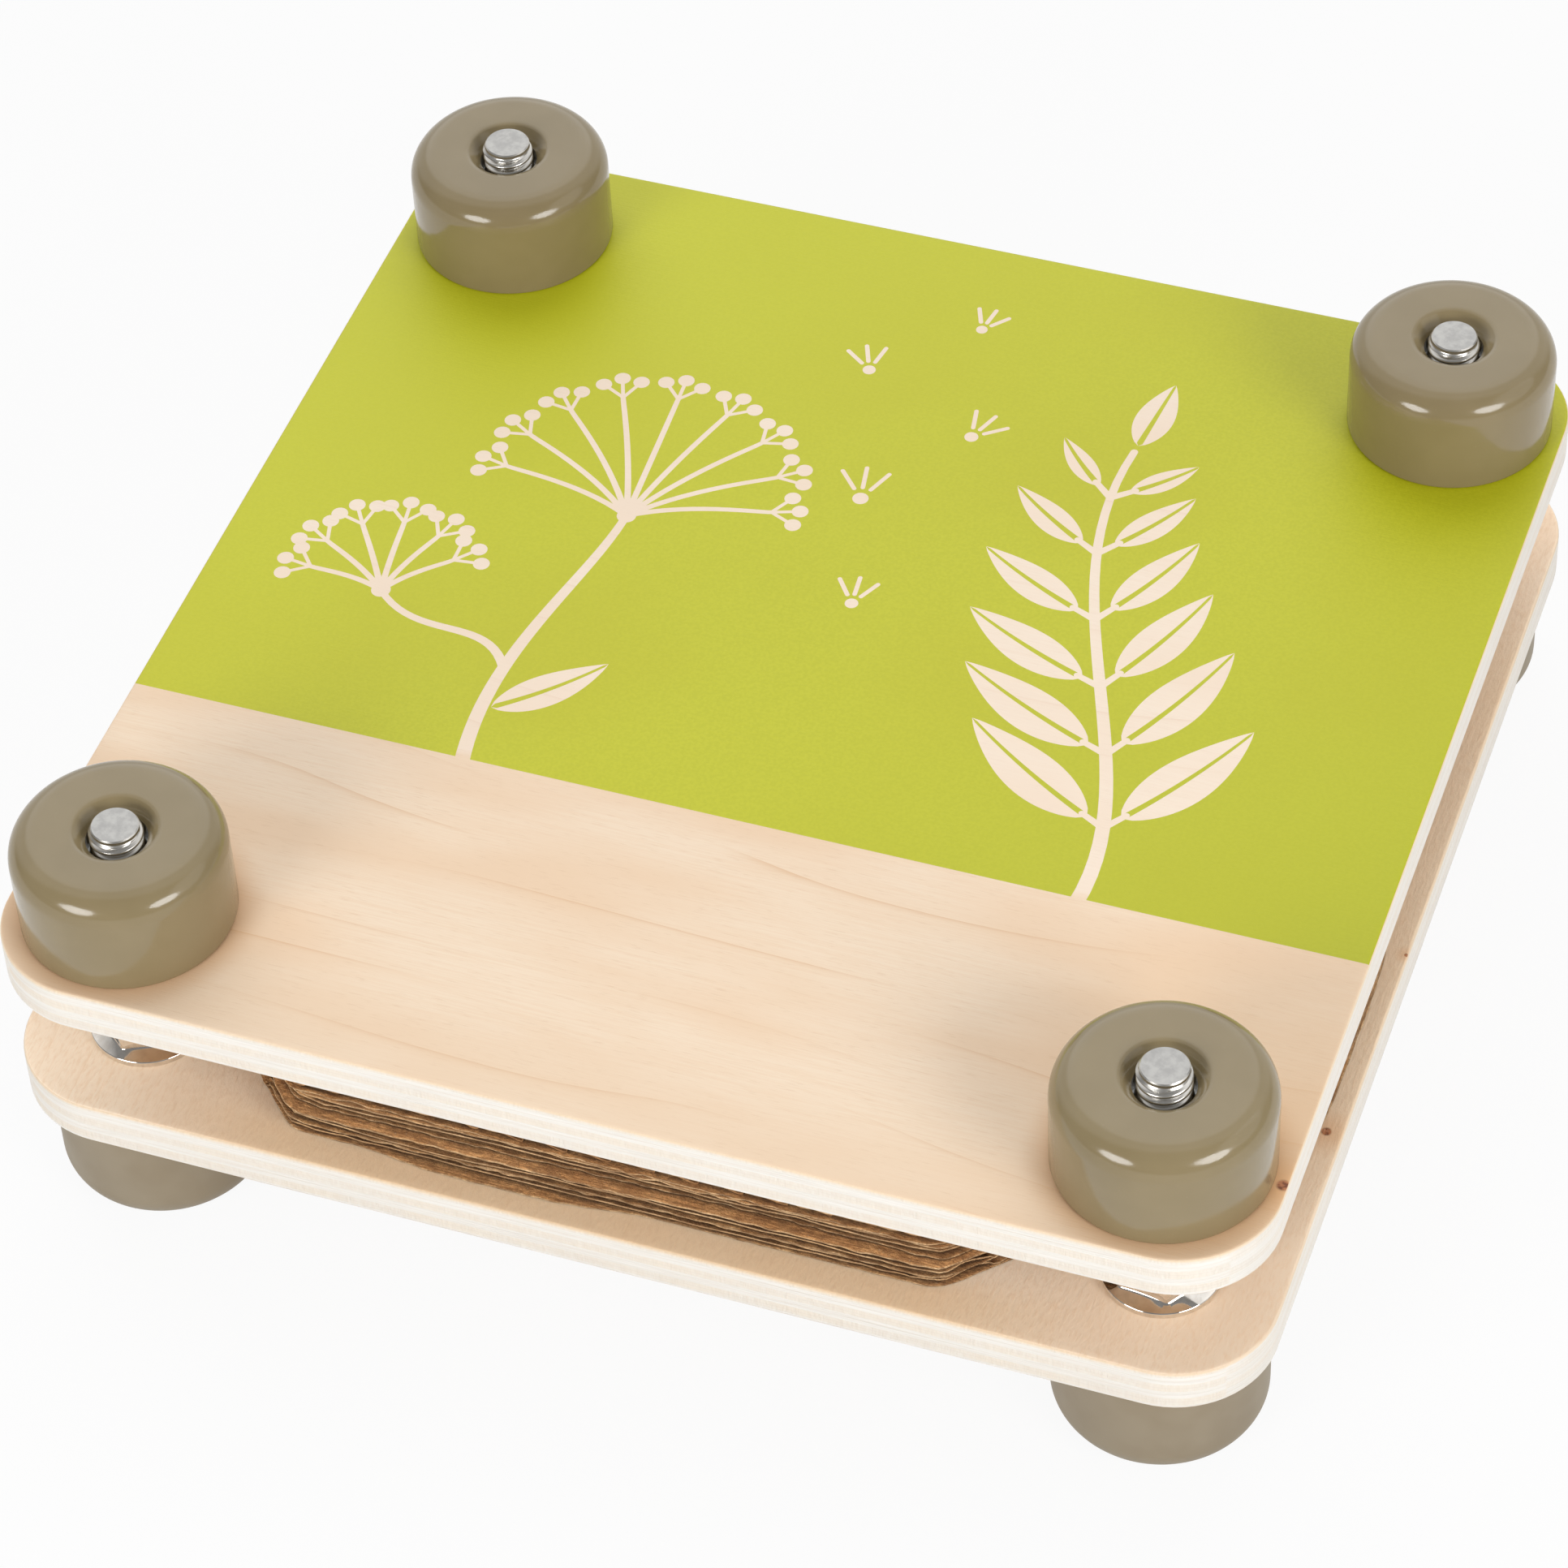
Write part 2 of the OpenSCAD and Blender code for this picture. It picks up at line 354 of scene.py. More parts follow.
def print_ink():
    """Matt green ink over the veneer, so thin that the fibres show in its surface."""
    material, place = start_material("green_ink")
    _, fibres, flecks, _ = grain_fields(place, 0, 3.1)
    mottle = noise(place, 0.55, detail=2).levels(0.3, 0.7)
    colour = mix(mottle * 0.8, tone(192, 193, 25), tone(184, 186, 15))
    colour = mix(flecks * 0.16, colour, tone(172, 175, 12))
    cloud = noise(place, 40, detail=2).levels(0.35, 0.65)
    colour = mix(cloud * 0.35, colour, tone(184, 180, 8))
    x, y, _ = axes(place)
    # Painted light: the ink turns lighter towards the back left.
    colour = mix((y - x).levels(0, 150 * MM) * 0.6, colour, tone(200, 202, 32))
    # Painted shade: the ink turns darker towards the front right.
    colour = mix((x - y).levels(0, 130 * MM) * 0.6, colour, tone(172, 175, 8))
    grit = noise(place, 0.3, detail=2)
    normal = bump(grit, 0.022 * MM, bump(fibres, 0.03 * MM))
    return end_material(material, colour, 0.5, normal, specular=0.42)


def ply_edge(name, node):
    """Sanded plywood edge: pale long grain in the odd plies and end grain in the even ones, swapped on the sides."""
    material, place = start_material(name)
    low, high = (corner.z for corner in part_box(node))
    x, y, z = axes(place)
    layer = (z - low) * (PLIES / (high - low))
    waver = (noise(place, (26, 26, 4), detail=2) - 0.5) * 0.16
    ply = (layer + waver - 0.5 * PLIES + 0.5) * 0.5
    distance = (ply - ply.math("ROUND")).size()
    crossing = distance.levels(0.21, 0.29)
    beside = (x.size() - y.size()).levels(-0.5 * MM, 0.5 * MM)
    end_grain = (crossing - beside).size()
    pores = noise(place, (0.35, 0.35, 1.8), detail=2, roughness=0.6).levels(0.25, 0.8)
    streaks = noise(place, (16, 16, 0.3), detail=2).levels(0.3, 0.75)
    long_colour = mix(streaks, tone(236, 232, 225), tone(229, 222, 212))
    end_colour = mix(pores, tone(232, 225, 214), tone(226, 216, 203))
    blotch = noise(place, (9, 9, 3), detail=2).levels(0.35, 0.7)
    end_colour = mix(blotch * 0.3, end_colour, tone(236, 220, 196))
    colour = mix(end_grain * beside.levels(0, 1, 0.95, 0.5), long_colour, end_colour)
    glue = (layer - layer.math("ROUND")).size().levels(0.0, 0.07, 0.32, 0.0)
    colour = mix(glue, colour, tone(214, 200, 186))
    rim = layer.levels(PLIES - 0.34, PLIES - 0.12) + layer.levels(0.1, 0.3, 1.0, 0.0)
    colour = mix(rim * 0.65, colour, tone(236, 206, 166))
    height = mix(end_grain, streaks, pores)
    return end_material(material, colour, 0.7, bump(height, 0.06 * MM))


def satin_lacquer():
    """Khaki lacquer on turned wood, its surface faintly uneven."""
    material, place = start_material("satin_lacquer")
    cloud = noise(place, 9, detail=2).levels(0.3, 0.7)
    colour = mix(cloud, tone(134, 119, 87), tone(138, 123, 91))
    specks = noise(place, 0.35, detail=1).levels(0.72, 0.8)
    colour = mix(specks * 0.2, colour, tone(152, 138, 108))
    roughness = noise(place, 5, detail=2).levels(0.3, 0.7, 0.12, 0.16)
    ripple = bump(noise(place, 3.2, detail=1), 0.03 * MM)
    normal = bump(noise(place, 0.4, detail=1), 0.005 * MM, ripple)
    return end_material(material, colour, roughness, normal)


def matt_lacquer():
    """The same lacquer on the feet, duller from standing on tables."""
    material, place = start_material("matt_lacquer")
    cloud = noise(place, 8, detail=2).levels(0.3, 0.7)
    colour = mix(cloud, tone(137, 123, 100), tone(144, 131, 109))
    normal = bump(noise(place, 0.6, detail=2), 0.01 * MM)
    return end_material(material, colour, 0.5, normal)


def bright_zinc():
    """Zinc plating on the bolts, mottled where the end was sheared."""
    material, place = start_material("bright_zinc")
    mottle = noise(place, 1.4, detail=3, roughness=0.6).levels(0.3, 0.7)
    _, _, upward = axes(node_field(place.tree, "NewGeometry", output="Normal"))
    sheared = upward.levels(0.85, 0.97)
    colour = mix(sheared, tone(206, 203, 197), mix(mottle, tone(166, 165, 162), tone(150, 149, 147)))
    roughness = sheared * 0.22 + 0.27
    normal = bump(noise(place, 0.8, detail=2), 0.004 * MM)
    return end_material(material, colour, roughness, normal, metallic=1.0)


def dull_zinc():
    """Zinc plating with fine turning marks, on washers and inserts."""
    material, place = start_material("dull_zinc")
    cloud = noise(place, 2.2, detail=3).levels(0.3, 0.7)
    colour = mix(cloud, tone(214, 214, 210), tone(190, 191, 190))
    marks = noise(place, (3.5, 3.5, 0.12), detail=2)
    return end_material(material, colour, 0.36, bump(marks, 0.012 * MM), metallic=1.0)


def polished_nickel():
    material, place = start_material("polished_nickel")
    cloud = noise(place, 1.6, detail=3).levels(0.35, 0.7)
    colour = mix(cloud, tone(233, 228, 221), tone(219, 212, 203))
    roughness = noise(place, 1.6, detail=2).levels(0.35, 0.7, 0.03, 0.07)
    normal = bump(noise(place, 2.2, detail=1), 0.004 * MM)
    return end_material(material, colour, roughness, normal, metallic=1.0)


def kraft_paper(name, pale, dark):
    """Brown paper with matted fibres and small pale and dark flecks, and painted shade that darkens it in its crevices.
    """
    material, place = start_material(name)
    cloud = noise(place, 5, detail=5, roughness=0.7).levels(0.35, 0.65)
    colour = mix(cloud, pale, dark)
    fibres = noise(place, (1.6, 1.6, 0.16), detail=3, roughness=0.7)
    colour = mix(fibres.levels(0.35, 0.65) * 0.5, colour, tone(112, 74, 42))
    x, y, _ = axes(place)
    beside = (x.size() - y.size()).levels(-1 * MM, 1 * MM)
    streaks = mix(beside, noise(place, (6, 0.25, 0.25), detail=2), noise(place, (0.25, 6, 0.25), detail=2))
    colour = mix(streaks.levels(0.42, 0.6) * 0.5, colour, tone(104, 66, 36))
    flecks = noise(place, 0.4, detail=1).levels(0.68, 0.78)
    colour = mix(flecks * 0.6, colour, tone(214, 182, 140))
    grain = noise(place, 0.4, detail=3, roughness=0.7)
    colour = mix(grain.levels(0.4, 0.65) * 0.35, colour, tone(112, 74, 42))
    normal = bump(grain, 0.25 * MM, bump(fibres, 0.15 * MM))
    # Painted shade: the paper darkens to near black where ambient occlusion finds it shut in.
    open_share = node_field(place.tree, "AmbientOcclusion", {"Distance": CREVICE_SHADE_REACH}, "AO", samples=8)
    colour = mix(open_share.levels(0.05, CREVICE_SHADE_END), tone(48, 29, 15), colour)
    return end_material(material, colour, 0.85, normal)


# Meshes

def add_object(name, data):
    made = bpy.data.objects.new(name, data)
    bpy.context.scene.collection.objects.link(made)
    return made


def add_piece(name, points, faces, materials, body, nodes, numbers=None, crease=38):
    """Makes a closed mesh that stands for CAD nodes; numbers gives each face its material."""
    mesh = bpy.data.meshes.new(name)
    mesh.from_pydata(np.asarray(points).tolist(), [], [tuple(face) for face in faces])
    for material in materials:
        mesh.materials.append(material)
    if numbers is not None:
        mesh.polygons.foreach_set("material_index", np.asarray(numbers, dtype=np.int32))
    work = bmesh.new()
    work.from_mesh(mesh)
    weld = 0.5e-6
    bmesh.ops.remove_doubles(work, verts=work.verts, dist=weld)
    bmesh.ops.dissolve_degenerate(work, edges=work.edges, dist=weld)
    bmesh.ops.recalc_face_normals(work, faces=work.faces)
    work.to_mesh(mesh)
    work.free()
    mesh.polygons.foreach_set("use_smooth", np.ones(len(mesh.polygons), dtype=bool))
    mesh.set_sharp_from_angle(angle=math.radians(crease))
    piece = add_object(name, mesh)
    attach(piece, body)
    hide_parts(*nodes)


def ring_faces(rows, columns, closed):
    """Quads that join each ring of points to the next, and the last to the first if closed."""
    row = np.arange(rows if closed else rows - 1)[:, None]
    column = np.arange(columns)[None, :]
    above = (row + 1) % rows
    beside = (column + 1) % columns
    corners = (row * columns + column, row * columns + beside, above * columns + beside, above * columns + column)
    return np.stack(np.broadcast_arrays(*corners), axis=-1).reshape(-1, 4)


def turned(rings, steps=128, closed=True):
    """Points and faces of a turned shape from rings of radius and height, which may vary round the ring."""
    angles = TAU * np.arange(steps) / steps
    points = np.concatenate([
        np.column_stack((radius * np.cos(angles), radius * np.sin(angles), np.broadcast_to(height, steps)))
        for radius, height in rings])
    faces = ring_faces(len(rings), steps, closed).tolist()
    if not closed:
        faces.append(list(range(steps))[::-1])
        faces.append([steps * (len(rings) - 1) + step for step in range(steps)])
    return points, faces


def arc(radius, height, size, start, end, steps):
    """Rings of radius and height along an arc, from one angle to another in degrees."""
    return [(radius + size * math.cos(a), height + size * math.sin(a))
            for a in np.radians(np.linspace(start, end, steps + 1))]


def middle(node):
    low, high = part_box(node)
    return (low + high) / 2


def add_turned(name, rings, material, body, node, slot, turn=0, **more):
    """A turned piece in the place of a node, standing on the node's underside."""
    points, faces = turned(rings, **more)
    low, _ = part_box(node)
    centre = middle(node)
    place = Matrix.Translation((centre.x, centre.y, low.z)) @ Matrix.Rotation(math.radians(turn), 4, "Z")
    matrix = np.array(place)
    add_piece(name, points @ matrix[:3, :3].T + matrix[:3, 3], faces, [material], body, [node])


def size_of(node):
    """Radius and height of a turned node."""
    low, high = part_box(node)
    return (high.x - low.x) / 2, high.z - low.z


# Printed motifs, drawn in millimetres on the top board

def bezier(first, pull_first, pull_last, last, steps=28):
    share = np.linspace(0, 1, steps + 1)[:, None]
    first, pull_first, pull_last, last = (np.array(p, float) for p in (first, pull_first, pull_last, last))
    return ((1 - share) ** 3 * first + 3 * share * (1 - share) ** 2 * pull_first
            + 3 * share ** 2 * (1 - share) * pull_last + share ** 3 * last)


def unit(vector):
    return vector / np.linalg.norm(vector)


def left_of(vector):
    return np.array([-vector[1], vector[0]])


def heading(angle):
    """Unit vector at an angle from +X, in radians."""
    return np.array([math.cos(angle), math.sin(angle)])


def across_line(points):
    """Unit vectors square to a line, one at each of its points."""
    along = np.gradient(points, axis=0)
    return np.column_stack((-along[:, 1], along[:, 0])) / np.linalg.norm(along, axis=1)[:, None]


def disc(centre, radius, steps=28):
    angles = TAU * np.arange(steps) / steps
    return np.column_stack((centre[0] + radius * np.cos(angles), centre[1] + radius * np.sin(angles)))


def stroke(points, start_width, end_width):
    """Outlines of a tapered brush line with round ends."""
    across = across_line(points)
    half = np.linspace(start_width, end_width, len(points))[:, None] / 2
    body = np.concatenate((points + half * across, (points - half * across)[::-1]))
    return [body, disc(points[0], start_width / 2), disc(points[-1], end_width / 2)]


def leaf(base, direction, length, width, bend):
    """Outlines of a pointed leaf in two halves, parted by its midrib."""
    side = left_of(direction)
    share = np.linspace(0, 1, 25)
    axis = base + np.outer(share * length, direction) + np.outer(bend * length * share ** 2, side)
    across = across_line(axis)
    margin = width / 2 * np.sin(math.pi * share ** 0.8) ** 0.85
    midrib = np.minimum(0.5 * (1 - 0.6 * share), margin)
    return [np.concatenate((axis + way * margin[:, None] * across, (axis + way * midrib[:, None] * across)[::-1]))
            for way in (1, -1)]


def leafy_twig():
    """A tall twig with pairs of leaves that shrink towards its tip."""
    stem = bezier((52, -36.5), (56, -8), (28, 22), (33, 56))
    outlines = stroke(stem, 2.3, 1.2)
    for step, length in ((5, 26), (9.5, 25), (13.5, 22.5), (17.5, 19.5), (21.5, 16), (25, 12)):
        place = stem[int(step)] + (step % 1) * (stem[int(step) + 1] - stem[int(step)])
        ahead = unit(stem[int(step) + 2] - stem[int(step)])
        for way in (1, -1):
            lean = math.radians(way * 50)
            direction = math.cos(lean) * ahead + math.sin(lean) * left_of(ahead)
            base = place + direction * 3.2
            outlines += stroke(np.linspace(place, base + direction, 6), 1.2, 1.0)
            outlines += leaf(base, direction, length, length * 0.33, -way * 0.1)
    outlines += leaf(stem[-1] + unit(stem[-1] - stem[-2]) * 1.5, unit(stem[-1] - stem[-2]), 15, 6, 0.0)
    return outlines


def seed_head(hub, up, rays, reach, spread):
    """A fan of thin rays, each with a small fan of round seeds at its end."""
    outlines = [disc(hub, 1.5)]
    for turn in np.linspace(-spread, spread, rays):
        angle = math.atan2(up[1], up[0]) + math.radians(turn)
        direction = heading(angle)
        length = reach * (1 - 0.18 * (abs(turn) / spread) ** 2)
        end = hub + direction * length
        lift = 0.12 * length * np.array(up)
        outlines += stroke(bezier(hub, hub + direction * length * 0.4 + lift, end - direction * 2, end, 14), 1.0, 0.8)
        for small_turn in (-42, 0, 42):
            tip = end + heading(angle + math.radians(small_turn)) * 4.4
            outlines += stroke(np.linspace(end, tip, 4), 0.6, 0.6)
            outlines.append(disc(tip, 1.3, 18))
    return outlines


def umbel_stems():
    """Two seed heads on one forked stem."""
    tall_hub = np.array([-37.0, 20.0])
    small_hub = np.array([-67.0, -6.0])
    stem = bezier((-42, -36.5), (-47, -14), (-38, 4), tall_hub)
    fork = bezier(stem[9], stem[9] + (-6, 10), small_hub + (9, -9), small_hub, 20)
    outlines = stroke(stem, 2.3, 1.3) + stroke(fork, 1.5, 1.1)
    outlines += seed_head(tall_hub, (-0.05, 1), 9, 27, 74)
    outlines += seed_head(small_hub, (-0.35, 0.94), 6, 15, 62)
    outlines += leaf(stem[5] + (1.4, 0.6), unit(np.array([0.8, 0.6])), 19, 6.4, 0.14)
    return outlines


def drifting_seed(centre, turn, size):
    """A round seed with three hairs above it."""
    outlines = [disc(centre, 1.15 * size, 20)]
    for lean in (-32, 0, 32):
        direction = heading(math.radians(turn + lean))
        outlines += stroke(np.linspace(centre + direction * 2.2 * size, centre + direction * 6.2 * size, 5), 0.7, 0.7)
    return outlines


def motifs():
    outlines = leafy_twig() + umbel_stems()
    for centre, turn, size in (((-4, 34), 100, 1.1), ((8, 52), 68, 0.95), ((-12, 62), 112, 0.9), ((2, 76), 80, 0.8),
                               ((2, 12), 95, 0.9)):
        outlines += drifting_seed(np.array(centre, float), turn, size)
    return [outline * MM for outline in outlines]


# Boards

def rounded_square(reach, inset):
    """Outline of a board moved in by inset, anticlockwise, with a point where the print ends on each side."""
    centre = reach - BOARD_ROUND
    radius = BOARD_ROUND - inset
    side = reach - inset
    points = []
    for turn in range(4):
        angles = np.radians(np.linspace(0, 90, 17) + 90 * turn - 90)
        middle_x, middle_y = [(1, -1), (1, 1), (-1, 1), (-1, -1)][turn]
        points += [(middle_x * centre + radius * math.cos(a), middle_y * centre + radius * math.sin(a)) for a in angles]
        if turn in (0, 2):
            points.append((side if turn == 0 else -side, PRINT_EDGE))
    return np.array(points)


def at_height(outline, height):
    """The points of a flat outline, lifted to a height."""
    return np.column_stack((outline, np.full(len(outline), height)))


def inside(outline, places):
    """Which places lie inside a closed outline."""
    found = np.zeros(len(places), dtype=bool)
    for (x0, y0), (x1, y1) in zip(outline, np.roll(outline, -1, axis=0)):
        if y0 != y1:
            spans = (y0 > places[:, 1]) != (y1 > places[:, 1])
            found ^= spans & (places[:, 0] < (x1 - x0) * (places[:, 1] - y0) / (y1 - y0) + x0)
    return found


def divide(rim, holes, drawn, border):
    """Triangles of the flat region inside rim and outside holes, with every drawn outline as edges."""
    loops = [rim, *holes, *drawn]
    points = [tuple(p / MM) for loop in loops for p in loop]
    edges = []
    for loop in loops:
        start = len(edges)
        edges += [(start + k, start + (k + 1) % len(loop)) for k in range(len(loop))]
    if border is not None:
        points += [tuple(p / MM) for p in border]
        edges.append((len(points) - 2, len(points) - 1))
    places, _, faces = delaunay_2d_cdt([Vector(p) for p in points], edges, [], 0, 1e-4)[:3]
    places = np.array([tuple(p) for p in places]) * MM
    faces = np.array([tuple(face) for face in faces])
    centres = places[faces].mean(axis=1)
    kept = inside(rim, centres)
    for hole in holes:
        kept &= ~inside(hole, centres)
    return places, faces[kept], centres[kept]


def add_board(name, node, grain, edge, ink=None):
    """A plywood board: round corners, eased edges, four bolt holes and, where ink is given, the print."""
    low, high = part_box(node)
    reach = high.x
    turns = np.radians(np.linspace(0, 90, 6))
    lower = [(BOARD_EASE * (1 - math.sin(a)), low.z + BOARD_EASE * (1 - math.cos(a))) for a in turns]
    upper = [(inset, low.z + high.z - height) for inset, height in reversed(lower)]
    shoulder = BOARD_EASE + BOARD_SHOULDER
    profile = [(shoulder, low.z), *lower, *upper, (shoulder, high.z)]
    points = [at_height(rounded_square(reach, inset), height) for inset, height in profile]
    columns = len(points[0])
    faces = ring_faces(len(profile), columns, False).tolist()
    first_top_row = len(profile) - 4
    numbers = [1 if 2 < row < first_top_row else 0 for row in range(len(profile) - 1) for _ in range(columns)]
    points = np.concatenate(points)
    if ink:
        for number, face in enumerate(faces):
            if number // columns >= first_top_row and points[list(face)][:, 1].mean() > PRINT_EDGE:
                numbers[number] = 2
    holes = [disc(middle(f"bolt_{corner}").xy, HOLE_RADIUS, 48) for corner in CORNERS]
    rim = rounded_square(reach, shoulder)
    drawn = motifs() if ink else []
    border = [np.array((side * (reach - shoulder), PRINT_EDGE)) for side in (-1, 1)] if ink else None
    for height, shapes, line in ((low.z, [], None), (high.z, drawn, border)):
        places, triangles, centres = divide(rim, holes, shapes, line)
        printed = np.zeros(len(centres), dtype=bool)
        if shapes:
            printed = centres[:, 1] > PRINT_EDGE
            for shape in shapes:
                printed &= ~inside(shape, centres)
        faces += (triangles + len(points)).tolist()
        numbers += np.where(printed, 2, 0).tolist()
        points = np.concatenate((points, at_height(places, height)))
    for hole in holes:
        faces += (ring_faces(2, len(hole), False) + len(points)).tolist()
        numbers += [1] * len(hole)
        points = np.concatenate((points, at_height(hole, low.z), at_height(hole, high.z)))
    materials = [grain, edge] + ([ink] if ink else [])
    add_piece(name, points, faces, materials, "base" if node == "base_board" else node, [node], numbers)


# Turned pieces and hardware

def knob_rings(radius, height, collar, insert_height):
    """Profile of a knob: round upper edge, soft dish round the bolt, stepped bore for its insert."""
    rim_size = 1.7 * MM
    floor_slope = math.degrees(math.atan2(DISH_DEPTH - 0.55 * MM, DISH_RIM - HOLE_RADIUS))
    rim_start = DISH_RIM + rim_size * math.tan(math.radians(floor_slope / 2))
    dish = arc(rim_start, height - rim_size, rim_size, 90, 90 + floor_slope, 6)
    return [
        (collar + JOINT_GAP, 0),
        *arc(radius - LOWER_EASE, LOWER_EASE, LOWER_EASE, -90, 0, 5),
        *arc(radius - KNOB_ROUND, height - KNOB_ROUND, KNOB_ROUND, 0, 90, 20),
        *dish,
        (HOLE_RADIUS + 0.3 * MM, height - DISH_DEPTH),
        (HOLE_RADIUS, height - DISH_DEPTH - 0.25 * MM),
        (HOLE_RADIUS, insert_height),
        (INSERT_BARREL + JOINT_GAP, insert_height - 1 * MM),
        (INSERT_BARREL + JOINT_GAP, COLLAR_HEIGHT),
        (collar + JOINT_GAP, COLLAR_HEIGHT),
    ]


def foot_rings(radius, height, seat):
    """Profile of a foot, standing on the ring round its stepped hole."""
    return [
        (COUNTERBORE, 0.2 * MM), (COUNTERBORE + 0.2 * MM, 0),
        *arc(radius - FOOT_ROUND, FOOT_ROUND, FOOT_ROUND, -90, 0, 18),
        *arc(radius - LOWER_EASE, height - LOWER_EASE, LOWER_EASE, 0, 90, 5),
        (HOLE_RADIUS, height), (HOLE_RADIUS, seat), (COUNTERBORE, seat),
    ]


def insert_rings(radius, height):
    ease = 0.25 * MM
    return [
        (THREAD_BORE + ease, 0), (radius - ease, 0), (radius, ease), (radius, COLLAR_HEIGHT),
        (INSERT_BARREL, COLLAR_HEIGHT), (INSERT_BARREL, height - 1 * MM), (INSERT_BARREL - 1 * MM, height),
        (THREAD_BORE + ease, height), (THREAD_BORE, height - ease), (THREAD_BORE, ease),
    ]


def washer_rings(radius, height):
    ease = 0.15 * MM
    bore = THREAD_BORE + 0.2 * MM
    return [
        (bore + ease, 0), (radius - ease, 0), (radius, ease), (radius, height - ease), (radius - ease, height),
        (bore + ease, height), (bore, height - ease), (bore, ease),
    ]


def hexagon(across, steps):
    """Reach of a hexagon in each direction, its six upright edges a little blunted."""
    angles = TAU * np.arange(steps) / steps
    off = angles % (TAU / 6) - TAU / 12
    return np.minimum(across / 2 / np.cos(off), across / 2 / math.cos(TAU / 12) * 0.982)


def hexagon_top(across, height, steps):
    """Rings where a cone cuts the upper corners of a hexagon."""
    sides = hexagon(across, steps)
    flat = across / 2 * 0.95
    slope = math.tan(math.radians(30))
    shoulder = height - (sides - flat) * slope
    blunt = 0.12 * MM
    return [(sides, shoulder - blunt), (sides - blunt, shoulder + blunt * slope),
            (flat + blunt, height - blunt * slope), (flat - blunt, height)]


def nut_rings(radius, height):
    """Profile of a flange nut: a conical flange under a chamfered hexagon."""
    sides = hexagon(NUT_ACROSS, NUT_STEPS)
    slope = (FLANGE_HEIGHT - FLANGE_RIM) / (radius - NUT_ACROSS / 2)
    meeting = FLANGE_HEIGHT - (sides - NUT_ACROSS / 2) * slope
    edge = 0.3 * MM
    return [
        (THREAD_BORE + edge, 0),
        *arc(radius - edge, edge, edge, -90, 0, 3), *arc(radius - edge, FLANGE_RIM - edge, edge, 0, 60, 3),
        (sides + 0.25 * MM, meeting - 0.25 * MM * slope), (sides, meeting + 0.2 * MM),
        *hexagon_top(NUT_ACROSS, height, NUT_STEPS),
        (THREAD_BORE + 0.5 * MM, height), (THREAD_BORE, height - 0.5 * MM), (THREAD_BORE, edge),
    ]


def bolt_rings(radius, height, thread_low):
    """Profile of a hexagon bolt, head down, with its thread cut as a true helix."""
    head = [(reach, HEAD_HEIGHT - up) for reach, up in hexagon_top(HEAD_ACROSS, HEAD_HEIGHT, BOLT_STEPS)][::-1]
    angles = np.arange(BOLT_STEPS) / BOLT_STEPS
    blunt = 0.18 * MM
    levels = np.arange(thread_low, height - 1.5 * blunt, THREAD_PITCH / 12)
    thread = []
    for level in levels:
        depth = THREAD_DEPTH * (0.5 - 0.5 * np.cos(TAU * (level / THREAD_PITCH - angles))) ** 1.4
        depth *= min(1, (level - thread_low) / THREAD_PITCH, (height - level) / BOLT_END_LENGTH)
        thread.append((np.minimum(radius - depth, BOLT_END + max(0, height - BOLT_END_LENGTH - level)), level))
    return [
        (2 * MM, 0), *head, (hexagon(HEAD_ACROSS, BOLT_STEPS), HEAD_HEIGHT), (radius, HEAD_HEIGHT),
        *thread, (BOLT_END, height - blunt), (BOLT_END - blunt, height), (1.5 * MM, height),
    ]


# Corrugated sheets

def octagon(angles):
    """Distance from the middle to a sheet's edge in each direction, its corners softly rounded."""
    facing_angles = TAU * np.arange(8) / 8
    limits = np.where(np.arange(8) % 2 == 0, SHEET_REACH, SHEET_CUT)
    toward = np.maximum(np.cos(np.subtract.outer(angles, facing_angles)), 0) / limits
    return (toward ** CORNER_SHARPNESS).sum(axis=-1) ** (-1 / CORNER_SHARPNESS)


def wander(rng, slowest, fastest):
    """A random closed wave over the angle, about 1 in size, with that many waves in one turn."""
    counts = np.arange(slowest, fastest + 1)
    phases = rng.uniform(0, TAU, len(counts))
    sizes = rng.normal(size=len(counts))
    sizes *= math.sqrt(2) / np.linalg.norm(sizes)

    def at(angles):
        return (sizes * np.cos(np.multiply.outer(angles, counts) + phases)).sum(axis=-1)
    return at


def near_edge(inset, depth):
    """1 at a sheet's edge, fading inwards over depth."""
    return np.exp(-np.maximum(inset, 0) / depth)


def plateau(values, centre, width):
    """1 round a centre, falling off steeply at width to each side."""
    return np.exp(-(((values - centre) / width) ** 4))


